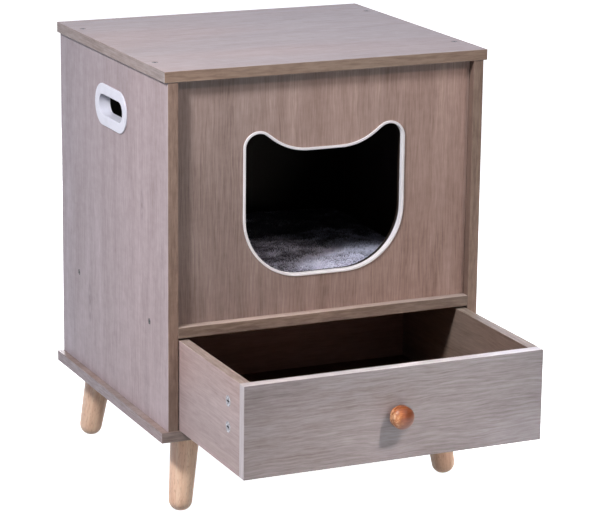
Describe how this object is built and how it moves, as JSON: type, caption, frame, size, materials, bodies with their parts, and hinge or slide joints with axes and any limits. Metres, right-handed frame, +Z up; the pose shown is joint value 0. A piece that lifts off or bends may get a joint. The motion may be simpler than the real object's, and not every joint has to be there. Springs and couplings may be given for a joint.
{
  "type": "litter box enclosure",
  "caption": "Board cabinet on splayed wooden legs with a cat-head entrance, a plush pad on an inner shelf, grip holes in the sides and a pull-out drawer below.",
  "frame": {"origin": "on the floor, under the middle of the cabinet's side boards", "axes": "+X to the right, the front with the drawer and the cat entrance faces -Y, +Z up"},
  "size_m": [0.487, 0.6727, 0.6195],
  "materials": {
    "grey_oak_board": "matt melamine with oak grain",
    "hardboard": "thin sheet, smooth face",
    "white_plastic": "satin moulded",
    "beech": "satin clear lacquer",
    "varnished_knob": "gloss varnish",
    "zinc": "bright zinc plate",
    "grey_plush": "short plush pile"
  },
  "bodies": {
    "cabinet": {"top_panel": "grey_oak_board", "base_panel": "grey_oak_board", "shelf_panel": "grey_oak_board", "left_side_panel": "grey_oak_board", "right_side_panel": "grey_oak_board", "front_panel": "grey_oak_board", "back_panel": "hardboard", "opening_trim": "white_plastic", "left_handle_grommet": "white_plastic", "right_handle_grommet": "white_plastic", "front_left_leg": "beech", "front_right_leg": "beech", "rear_left_leg": "beech", "rear_right_leg": "beech", "top_dowels": "beech", "base_dowels": "beech", "shelf_dowels": "beech", "front_panel_dowels": "beech", "leg_bolts": "zinc", "leg_inserts": "zinc", "top_screws": "zinc", "base_screws": "zinc", "shelf_screws": "zinc", "cushion": "grey_plush"},
    "drawer": {"drawer_front": "grey_oak_board", "drawer_left_side": "grey_oak_board", "drawer_right_side": "grey_oak_board", "drawer_back": "grey_oak_board", "drawer_bottom": "hardboard", "drawer_knob": "varnished_knob", "drawer_cam_nuts": "zinc", "drawer_cam_bolts": "zinc", "drawer_back_screws": "zinc", "drawer_knob_screw": "zinc"}
  },
  "joints": [
    {"name": "drawer_slide", "type": "slide", "parent": "cabinet", "child": "drawer", "axis": [0, -1, 0], "range_m": [-0.22, 0.08]}
  ]
}
